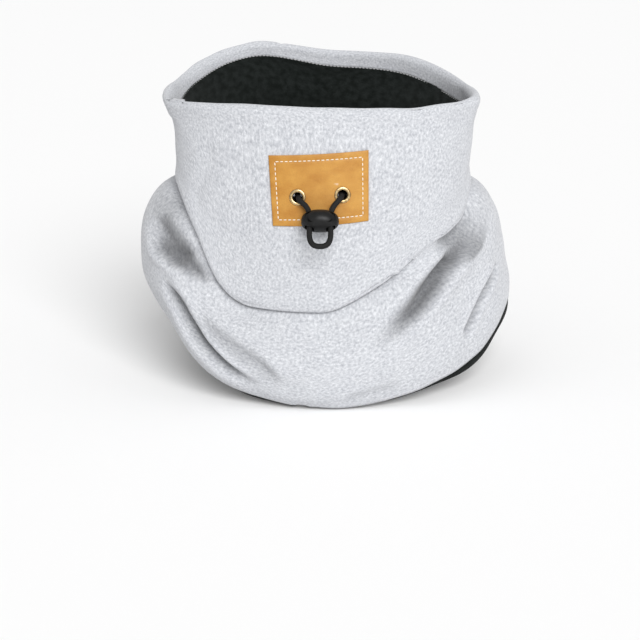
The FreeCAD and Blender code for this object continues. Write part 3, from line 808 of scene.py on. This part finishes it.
seat = leather_thick
dome = np.linspace(0, np.pi, 13)
bore, barrel, flange = 3.45, 3.85, 6.0
roll = (flange - bore) / 2
dome_profile = np.stack([flange - roll + roll * np.cos(dome), seat + 0.95 * np.sin(dome) ** 0.8], axis=-1)
eyelet_profile = np.concatenate([dome_profile, [
    (bore, -1.0), (bore, -3.4), (bore + 0.7, -3.6), (bore + 0.8, -3.3), (barrel, -3.1), (barrel, 1.3),
    (barrel + 0.1, seat - 0.1), (flange - 0.5, seat - 0.1), (flange - 0.05, seat - 0.05)]])
eyelets = []
for name, middle in zip(eyelet_names, eyelet_middles):
    x, z = middle[[0]], middle[[2]]
    axis = patch_out(x, z)[0]
    centre = np.array([middle[0], patch_back(x, z)[0], middle[2]])
    piece = turned("brass_" + name, eyelet_profile[::-1], centre, axis)
    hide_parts(name)
    eyelets.append(piece)
print("eyelet axis:", axis.round(3))

# %% [markdown]
# ## The cord lock
# The lock is a moulded bean: an oval dome whose sides swell and then draw in towards the underside. It
# is worked out in its own frame, with X across, Y back up the cords and Z out through the dome. The
# cord holes and the pocket are cut with Boolean modifiers, applied at once to drop the cutters.

# %% The lock's frame and its bean
lock_middle = np.array([0.0, -118.5, 71.5])
lock_axes = np.array([[1.0, 0, 0], [0, 0.669, 0.743], out_of_lock])
widest, crown = -1.5, 9.5      # the height where the lock is widest, and how far its dome rises above


def in_lock(points):
    """Points of the lock's frame in the frame of the gaiter."""
    return lock_middle + points @ lock_axes


def oval(turn, half_long, half_deep, power=2.4):
    """Closed oval |x/a|**power + |y/b|**power = 1, by its angle."""
    across, along = np.cos(turn), np.sin(turn)
    x = half_long * np.sign(across) * abs(across) ** (2 / power)
    y = half_deep * np.sign(along) * abs(along) ** (2 / power)
    return x, y


def bean(sides=96):
    """Ovals stacked from the underside to the crown. The share of the full size at each height rises
    to 1 over the sides and closes over the dome like sqrt(1 - h**2.2)."""
    heights = np.concatenate([[-5.4], np.linspace(-5.2, widest, 8),
                              widest + crown * np.sin(np.linspace(0.1, np.pi / 2, 22))])
    low_share = 1 - 0.13 * np.clip((widest - heights) / 3.9, 0, 1) ** 2.2
    dome_share = np.sqrt(np.maximum(1 - np.clip((heights - widest) / crown, 0, 1) ** 2.2, 0.0004))
    share = low_share * dome_share
    share[0] -= 0.03
    turn = np.linspace(0, 2 * np.pi, sides, endpoint=False)
    x, y = oval(turn, 13.6, 8.0)
    points = np.stack([share[:, None] * x, share[:, None] * y, heights[:, None] + 0 * x], axis=-1)
    return in_lock(points)


def cutter(name, middle, half_x, half_y, low, high, power, level):
    """A closed block with an oval outline. level turns it so that it lies along the cords."""
    x, y = oval(np.linspace(0, 2 * np.pi, 40, endpoint=False), half_x, half_y, power)
    ends = np.array([low, high])[:, None]
    others = [-ends + 0 * x, y + 0 * ends] if level else [y + 0 * ends, ends + 0 * x]
    points = np.stack([middle + x + 0 * ends, *others], axis=-1)
    return grid_object(name, in_lock(points), caps=True, body="lock")


def carve(piece, cutters):
    """Cuts the cutters out of a piece, keeps the result as its mesh, and removes them."""
    for tool in cutters:
        cut = piece.modifiers.new("cut", "BOOLEAN")
        cut.operation = "DIFFERENCE"
        cut.solver = "EXACT"
        cut.object = tool
    bpy.context.view_layer.update()
    result = bpy.data.meshes.new_from_object(piece.evaluated_get(bpy.context.evaluated_depsgraph_get()))
    piece.modifiers.clear()
    piece.data = result
    for tool in cutters:
        bpy.data.objects.remove(tool)
    result.set_sharp_from_angle(angle=np.radians(38))


lock_shell = grid_object("lock_shell", bean(), caps=True, body="lock")
tools = [cutter("hole", x, 3.5, 2.45, -12, 12, 2.6, True) for x in (-7.5, 7.5)]
tools.append(cutter("pocket", 0, 11.05, 4.65, -8, 6.0, 3.0, False))
carve(lock_shell, tools)
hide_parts("lock_body")
print("lock faces:", len(lock_shell.data.polygons))

# %% [markdown]
# ## Materials
# Every finish is a Principled shader with patterns from noise. Cloth reads its UV map, which is laid out
# in metres, so the flecks run up the cloth and follow its folds; hard pieces read Object coordinates.
# A value that is the same all over goes straight on the shader's socket.

# %% Helpers for materials
class Finish:
    """A material with these values on its Principled shader, to which patterns are added."""

    def __init__(self, name, coordinates="UV", **sockets):
        self.material = bpy.data.materials.new(name)
        self.material.use_nodes = True
        self.nodes, self.join = self.material.node_tree.nodes, self.material.node_tree.links.new
        self.shader = self.nodes["Principled BSDF"]
        for socket, value in sockets.items():
            self.shader.inputs[socket.replace("_", " ")].default_value = value
        self.place = self.node("TexCoord").outputs[coordinates]

    def node(self, kind):
        return self.nodes.new("ShaderNode" + kind)

    def grain(self, size, detail=2.0, roughness=0.5):
        """Noise whose blobs are about size millimetres, given as one number or as (x, y, z)."""
        size = np.broadcast_to(size, 3)
        mapping = self.node("Mapping")
        mapping.inputs["Scale"].default_value = [1 / (float(side) * mm) for side in size]
        noise = self.node("TexNoise")
        for socket, value in (("Scale", 1.0), ("Detail", detail), ("Roughness", roughness)):
            noise.inputs[socket].default_value = value
        self.join(self.place, mapping.inputs["Vector"])
        self.join(mapping.outputs["Vector"], noise.inputs["Vector"])
        return noise.outputs["Fac"]

    def ramp(self, value, *stops):
        """Colour ramp over a value; each stop is (position, (red, green, blue)) in linear light."""
        ramp = self.node("ValToRGB")
        first, last = ramp.color_ramp.elements
        extra = [ramp.color_ramp.elements.new(position) for position, _ in stops[1:-1]]
        for element, (position, colour) in zip([first, *extra, last], stops):
            element.position = position
            element.color = (*colour, 1.0)
        self.join(value, ramp.inputs["Fac"])
        return ramp.outputs["Color"]

    def mix(self, share, one, other, blend="MIX"):
        """Two colours mixed by a share."""
        mix = self.node("Mix")
        mix.data_type = "RGBA"
        mix.blend_type = blend
        mix.inputs["Factor"].default_value = share
        self.join(one, mix.inputs["A"])
        self.join(other, mix.inputs["B"])
        return mix.outputs["Result"]

    def done(self, colour, *layers):
        """The material, with this colour and a chain of bump nodes. Each layer is (height socket,
        depth in millimetres, strength)."""
        self.join(colour, self.shader.inputs["Base Color"])
        normal = None
        for height, depth, strength in layers:
            bump = self.node("Bump")
            bump.inputs["Distance"].default_value = depth * mm
            bump.inputs["Strength"].default_value = strength
            self.join(height, bump.inputs["Height"])
            if normal is not None:
                self.join(normal, bump.inputs["Normal"])
            normal = bump.outputs["Normal"]
        self.join(normal, self.shader.inputs["Normal"])
        return self.material


def grey(level):
    return (level, level, level)


# %% [markdown]
# ### Fleece
# Heather fleece is a blend of pale and mid-grey fibres: small upright flecks, two to four millimetres
# long, in soft patches of darker and paler grey. Its pile scatters light, which a rough surface with
# some sheen gives. Light alone left the folds paler than real ones, so shade is also painted into the
# colour: a mesh attribute, 0 on open cloth and 1 deep in a fold, darkens it down to a third.

# %% Grey fleece
# The share of the colour that the painted shade leaves at the deepest point of a fold.
deepest_shade = 0.34


def heather(name, pale, mid, dark, cool):
    """Fleece of three greys: mottling, upright flecks and single fibres, each a noise of its own size. A
    painted shade darkens it in the folds.
    """
    cloth = Finish(name, Roughness=0.95, Sheen_Weight=0.25, Sheen_Roughness=0.6, Specular_IOR_Level=0.15)
    fibre = cloth.grain((0.6, 0.8, 0.6), 2)
    base = cloth.ramp(cloth.grain((10, 12, 10), 3), (0.36, mid), (0.62, pale))
    fleck = cloth.grain((1.9, 2.3, 1.9), 4, 0.6)
    flecks = cloth.ramp(fleck, (0.30, dark), (0.46, mid), (0.60, pale), (0.74, cool))
    fibres = cloth.ramp(fibre, (0.32, grey(0.62)), (0.62, grey(1.0)))
    fuzzy = cloth.mix(0.4, cloth.mix(0.72, base, flecks), fibres, "MULTIPLY")
    # Painted shade: the mesh attribute darkens the colour in the folds, down to deepest_shade.
    depth = cloth.node("Attribute")
    depth.attribute_name = "painted_fold_shade"
    shade = cloth.ramp(depth.outputs["Fac"], (0.0, grey(1.0)), (1.0, grey(deepest_shade)))
    pile = cloth.grain((1.6, 2.6, 1.6), 3)
    return cloth.done(cloth.mix(1.0, fuzzy, shade, "MULTIPLY"), (pile, 0.45, 0.6), (fibre, 0.25, 0.6))


grey_fleece = heather("grey_fleece", pale=(0.64, 0.655, 0.68), mid=(0.52, 0.535, 0.565),
                      dark=(0.26, 0.27, 0.30), cool=(0.72, 0.73, 0.755))

# %% Dark fleece
def charcoal():
    """Charcoal fleece: two near-black greys, a long fine pile and a little sheen."""
    cloth = Finish("dark_fleece", Roughness=1.0, Sheen_Weight=0.03, Sheen_Roughness=0.7,
                   Specular_IOR_Level=0.05)
    pile = cloth.grain((0.7, 1.6, 0.7), 3, 0.6)
    tufts, mottle = cloth.grain(3.0, 3), cloth.grain((6, 9, 6), 3)
    base = cloth.ramp(mottle, (0.35, (0.005, 0.007, 0.006)), (0.65, (0.014, 0.017, 0.016)))
    tips = cloth.ramp(pile, (0.35, grey(0.5)), (0.65, grey(1.0)))
    return cloth.done(cloth.mix(0.7, base, tips, "MULTIPLY"), (tufts, 0.6, 0.7), (pile, 0.3, 0.7))


dark_fleece = charcoal()

# %% [markdown]
# ### Leather, thread and brass
# Vegetable-tanned leather is an orange tan with slow changes of tone, fine pores and a soft gloss. The
# thread is cream and twisted. The brass is old: warm metal, darker where it isn't rubbed.

# %% Tan leather
def leather_finish():
    """Tan leather: three tones in slow patches, and pores that are darker and lower."""
    hide = Finish("tan_leather", "Object", Roughness=0.52, Specular_IOR_Level=0.4)
    pores = hide.grain(0.7, 4, 0.65)
    base = hide.ramp(hide.grain((14, 14, 9), 3), (0.30, (0.40, 0.172, 0.020)),
                     (0.52, (0.465, 0.220, 0.031)), (0.72, (0.515, 0.260, 0.046)))
    dots = hide.ramp(pores, (0.34, grey(0.80)), (0.56, grey(1.0)))
    creases = hide.grain(4.0, 2)
    return hide.done(hide.mix(0.6, base, dots, "MULTIPLY"), (creases, 0.25, 0.5), (pores, 0.12, 0.5))


tan_leather = leather_finish()

# %% Thread and tape
def thread_finish(name, dark, pale, sheen=0.2):
    """Twisted thread: fine slanted noise between two tones."""
    thread = Finish(name, "Object", Roughness=0.75, Sheen_Weight=sheen, Specular_IOR_Level=0.25)
    twist = thread.grain((0.25, 0.25, 0.6), 2)
    return thread.done(thread.ramp(twist, (0.35, dark), (0.62, pale)), (twist, 0.08, 0.6))


cream_thread = thread_finish("cream_thread", (0.66, 0.55, 0.42), (0.86, 0.78, 0.66))
grey_thread = thread_finish("grey_thread", grey(0.36), grey(0.52))
dark_thread = thread_finish("dark_thread", grey(0.025), grey(0.06))
dark_tape = thread_finish("dark_tape", grey(0.03), grey(0.07))
black_cord = thread_finish("black_cord", grey(0.004), grey(0.012), sheen=0.0)

# %% Brass, steel and moulded plastic
def metal_finish(name, deep, bright, gloss):
    """Metal with tarnish: a noise mixes a deep tone into the bright one and roughens it."""
    metal = Finish(name, "Object", Metallic=1.0)
    tarnish = metal.grain(1.6, 4, 0.6)
    rough = metal.ramp(tarnish, (0.3, grey(gloss + 0.18)), (0.7, grey(gloss)))
    metal.join(rough, metal.shader.inputs["Roughness"])
    return metal.done(metal.ramp(tarnish, (0.35, deep), (0.66, bright)), (metal.grain(0.5, 2), 0.03, 0.4))


def plastic_finish():
    """Moulded acetal: near black, a fine spark texture, and a soft highlight."""
    plastic = Finish("black_plastic", "Object", Roughness=0.36, Specular_IOR_Level=0.17)
    wear = plastic.ramp(plastic.grain(5.0, 3), (0.35, grey(0.008)), (0.7, grey(0.014)))
    return plastic.done(wear, (plastic.grain(0.35, 3), 0.04, 0.5))


antique_brass = metal_finish("antique_brass", (0.30, 0.20, 0.09), (0.72, 0.55, 0.30), 0.26)
spring_steel = metal_finish("spring_steel", (0.40, 0.41, 0.43), (0.62, 0.63, 0.65), 0.24)
black_plastic = plastic_finish()


# %% Giving each piece its finish
def cover(piece, material):
    """The material takes the first slot, or replaces what is there."""
    if piece.material_slots:
        for place in piece.material_slots:
            place.link = "OBJECT"
            place.material = material
    else:
        piece.data.materials.append(material)


finishes = [(outer_fleece, grey_fleece), (lining_piece, dark_fleece), (patch_piece, tan_leather),
            (patch_row, cream_thread), (facing_seam, grey_thread), (hem_seam, dark_thread),
            (back_seam, grey_thread), (loose_cord, black_cord), (lock_shell, black_plastic)]
finishes += [(piece, antique_brass) for piece in eyelets]
cad_finishes = {"eyelet_washer_left": antique_brass, "eyelet_washer_right": antique_brass,
                "drawcord_left": black_cord, "drawcord_right": black_cord, "cord_tack": dark_thread,
                "cord_tunnel_tape": dark_tape, "lock_plunger": black_plastic, "lock_spring": spring_steel}
finishes += [(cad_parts[node], material) for node, material in cad_finishes.items()]
for piece, material in finishes:
    cover(piece, material)
print("materials:", len(bpy.data.materials))

# %% [markdown]
# ## Light and floor
# A pale floor, an even surround and one big soft lamp give the plain studio look. The lamp shines from
# the front, a little to the right and above. It is a far lamp, which lights the whole floor alike. The
# camera sees the backdrop as plain white, while the surround lights the gaiter at half that strength.

# %% Floor
floor_reach, floor_gap = 9.0, 0.0005
low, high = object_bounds()
level = low[2] - floor_gap
corners = [(x * floor_reach, y * floor_reach, level) for x, y in ((-1, -1), (1, -1), (1, 1), (-1, 1))]
floor_mesh = bpy.data.meshes.new("floor")
floor_mesh.from_pydata(corners, [], [(0, 1, 2, 3)])
floor = in_scene("floor", floor_mesh)
cover(floor, Finish("pale_floor", Roughness=0.9, Base_Color=(0.93, 0.93, 0.93, 1)).material)
print("floor at", round(level, 4))

# %% Lamp and surround
from_key = Vector((0.24, -0.84, 0.60))
key = in_scene("key", bpy.data.lights.new("key", "SUN"))
key.data.energy = 3.0
key.data.angle = np.radians(38)
aimed(key, from_key, -from_key)

world = bpy.data.worlds.new("surround")
world.use_nodes = True
nodes, links = world.node_tree.nodes, world.node_tree.links
surround, backdrop = nodes["Background"], nodes.new("ShaderNodeBackground")
for light, strength in ((surround, 0.52), (backdrop, 1.0)):
    light.inputs["Color"].default_value = (1, 1, 1, 1)
    light.inputs["Strength"].default_value = strength
either = nodes.new("ShaderNodeMixShader")
links.new(nodes.new("ShaderNodeLightPath").outputs["Is Camera Ray"], either.inputs["Fac"])
links.new(surround.outputs[0], either.inputs[1])
links.new(backdrop.outputs[0], either.inputs[2])
links.new(either.outputs[0], nodes["World Output"].inputs["Surface"])
bpy.context.scene.world = world
bpy.context.scene.view_settings.view_transform = "Standard"
